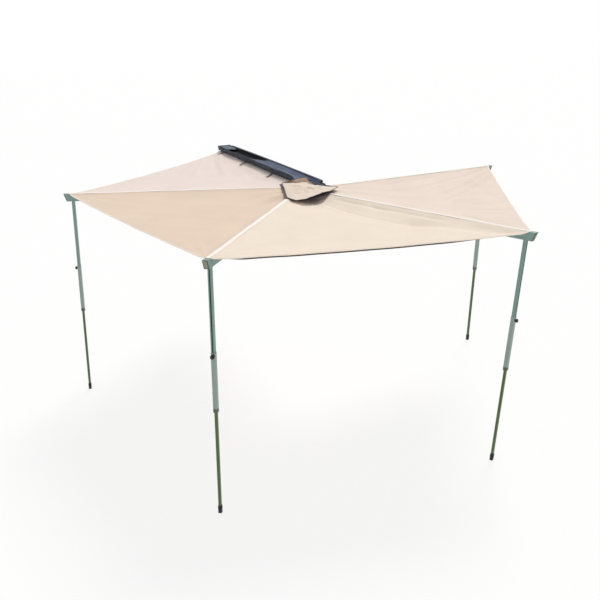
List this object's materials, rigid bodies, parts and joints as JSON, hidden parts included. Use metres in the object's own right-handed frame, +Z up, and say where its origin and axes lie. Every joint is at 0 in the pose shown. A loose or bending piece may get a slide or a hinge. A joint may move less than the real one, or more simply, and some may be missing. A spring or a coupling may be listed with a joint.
{
  "type": "vehicle side awning",
  "caption": "Fold-out fan awning for a vehicle's roof rack: channel arms on one corner hub, a beige canopy, telescoping legs and a long storage bag on a backing board.",
  "frame": {"origin": "on the ground, under the middle of the open awning's bounding box", "axes": "+X along the backing board away from the hub, +Y away from the vehicle, +Z up"},
  "size_m": [4.6752, 4.4566, 2.1343],
  "materials": {
    "anodised_aluminium": "satin anodised extrusion with a grey-green cast",
    "bright_aluminium": "satin anodised, a shade lighter",
    "black_steel": "black powder coat, fine texture",
    "plated_steel": "zinc plated",
    "black_plastic": "moulded, matte",
    "cap_plastic": "moulded, matte, dark olive grey",
    "canvas": "plain-woven canvas, beige",
    "cover_canvas": "plain-woven canvas with a dark binding",
    "bag_fabric": "coated fabric, dark blue-grey",
    "webbing": "woven webbing, dark"
  },
  "bodies": {
    "root": {"backing_board": "anodised_aluminium", "sail_rail": "bright_aluminium", "board_end_cap": "cap_plastic", "mounting_bracket_1": "black_steel", "mounting_bracket_2": "black_steel", "mounting_bracket_3": "black_steel", "hub_yoke": "black_steel", "hub_pin": "plated_steel", "hub_nut": "plated_steel", "hub_cover": "cover_canvas", "storage_bag": "bag_fabric", "bag_end_panel": "bag_fabric", "bag_strap_1": "webbing", "bag_strap_2": "webbing", "bag_strap_3": "webbing"},
    "arm_1": {"arm_1": "anodised_aluminium", "arm_1_tongue": "black_steel", "arm_1_end_cap": "cap_plastic", "arm_1_root_bolt": "plated_steel", "leg_1_hinge_pin": "plated_steel", "canopy_panel_1": "canvas"},
    "leg_1": {"leg_1_upper": "anodised_aluminium"},
    "leg_1_slider": {"leg_1_sleeve": "bright_aluminium", "leg_1_lower_tube": "anodised_aluminium", "leg_1_foot": "black_plastic"},
    "leg_1_knob": {"leg_1_knob": "black_plastic"},
    "arm_2": {"arm_2": "anodised_aluminium", "arm_2_tongue": "black_steel", "arm_2_end_cap": "cap_plastic", "arm_2_root_bolt": "plated_steel", "leg_2_hinge_pin": "plated_steel", "canopy_panel_2": "canvas"},
    "leg_2": {"leg_2_upper": "anodised_aluminium"},
    "leg_2_slider": {"leg_2_sleeve": "bright_aluminium", "leg_2_lower_tube": "anodised_aluminium", "leg_2_foot": "black_plastic"},
    "leg_2_knob": {"leg_2_knob": "black_plastic"},
    "arm_3": {"arm_3": "anodised_aluminium", "arm_3_tongue": "black_steel", "arm_3_end_cap": "cap_plastic", "arm_3_root_bolt": "plated_steel", "leg_3_hinge_pin": "plated_steel", "canopy_panel_3": "canvas"},
    "leg_3": {"leg_3_upper": "anodised_aluminium"},
    "leg_3_slider": {"leg_3_sleeve": "bright_aluminium", "leg_3_lower_tube": "anodised_aluminium", "leg_3_foot": "black_plastic"},
    "leg_3_knob": {"leg_3_knob": "black_plastic"},
    "arm_4": {"arm_4": "anodised_aluminium", "arm_4_tongue": "black_steel", "arm_4_end_cap": "cap_plastic", "arm_4_root_bolt": "plated_steel", "leg_4_hinge_pin": "plated_steel", "canopy_panel_4": "canvas"},
    "leg_4": {"leg_4_upper": "anodised_aluminium"},
    "leg_4_slider": {"leg_4_sleeve": "bright_aluminium", "leg_4_lower_tube": "anodised_aluminium", "leg_4_foot": "black_plastic"},
    "leg_4_knob": {"leg_4_knob": "black_plastic"}
  },
  "joints": [
    {"name": "arm_1_fold", "type": "hinge", "parent": "root", "child": "arm_1", "pos_m": [-0.1687, 0.08471, 2.035], "axis": [0, 0, 1], "range_deg": [-70, 0]},
    {"name": "leg_1_fold", "type": "hinge", "parent": "arm_1", "child": "leg_1", "pos_m": [0.70276, 2.14277, 2.04], "axis": [0.9397, -0.342, 0], "range_deg": [-91.7, 10]},
    {"name": "leg_1_extend", "type": "slide", "parent": "leg_1", "child": "leg_1_slider", "axis": [0.0101, 0.0279, -0.9996], "range_m": [-0.36, 0]},
    {"name": "leg_1_clamp", "type": "hinge", "parent": "leg_1_slider", "child": "leg_1_knob", "pos_m": [0.71842, 2.18579, 1.33274], "axis": [0.3419, 0.9393, 0.0297], "range_deg": [0, 360]},
    {"name": "arm_2_fold", "type": "hinge", "parent": "root", "child": "arm_2", "pos_m": [-0.1687, 0.08471, 2.035], "axis": [0, 0, 1], "range_deg": [-137.4, 0]},
    {"name": "leg_2_fold", "type": "hinge", "parent": "arm_2", "child": "leg_2", "pos_m": [-1.76631, 1.64481, 2.04], "axis": [0.6769, 0.7361, 0], "range_deg": [-91.4, 10]},
    {"name": "leg_2_extend", "type": "slide", "parent": "leg_2", "child": "leg_2_slider", "axis": [-0.018, 0.0165, -0.9997], "range_m": [-0.36, 0]},
    {"name": "leg_2_clamp", "type": "hinge", "parent": "leg_2_slider", "child": "leg_2_knob", "pos_m": [-1.79728, 1.67329, 1.33261], "axis": [-0.7359, 0.6767, 0.0244], "range_deg": [0, 360]},
    {"name": "arm_3_fold", "type": "hinge", "parent": "root", "child": "arm_3", "pos_m": [-0.1687, 0.08471, 2.035], "axis": [0, 0, 1], "range_deg": [-201.5, 0]},
    {"name": "leg_3_fold", "type": "hinge", "parent": "arm_3", "child": "leg_3", "pos_m": [-2.25235, -0.71564, 2.04], "axis": [-0.3665, 0.9304, 0], "range_deg": [-87.4, 10]},
    {"name": "leg_3_extend", "type": "slide", "parent": "leg_3", "child": "leg_3_slider", "axis": [0.0422, 0.0166, -0.999], "range_m": [-0.36, 0]},
    {"name": "leg_3_clamp", "type": "hinge", "parent": "leg_3_slider", "child": "leg_3_knob", "pos_m": [-2.24546, -0.71293, 1.33088], "axis": [-0.9295, -0.3661, -0.0454], "range_deg": [0, 360]},
    {"name": "arm_4_fold", "type": "hinge", "parent": "root", "child": "arm_4", "pos_m": [-0.1687, 0.08471, 2.035], "axis": [0, 0, 1], "range_deg": [-272.4, 0], "deforming": ["canopy_panel_1", "canopy_panel_2", "canopy_panel_3", "canopy_panel_4", "hub_cover", "bag_strap_1", "bag_strap_2", "bag_strap_3"]},
    {"name": "leg_4_fold", "type": "hinge", "parent": "arm_4", "child": "leg_4", "pos_m": [-0.04625, -2.14412, 2.04], "axis": [-0.9991, -0.0419, 0], "range_deg": [-88.7, 10]},
    {"name": "leg_4_extend", "type": "slide", "parent": "leg_4", "child": "leg_4_slider", "axis": [-0.0009, 0.0227, -0.9997], "range_m": [-0.36, 0]},
    {"name": "leg_4_clamp", "type": "hinge", "parent": "leg_4_slider", "child": "leg_4_knob", "pos_m": [-0.04589, -2.15281, 1.33144], "axis": [0.0419, -0.9989, -0.0227], "range_deg": [0, 360]}
  ],
  "couplings": [
    {"joint": "arm_1_fold", "follows": "arm_4_fold", "ratio": 0.25698},
    {"joint": "arm_2_fold", "follows": "arm_4_fold", "ratio": 0.5044},
    {"joint": "arm_3_fold", "follows": "arm_4_fold", "ratio": 0.73972}
  ]
}
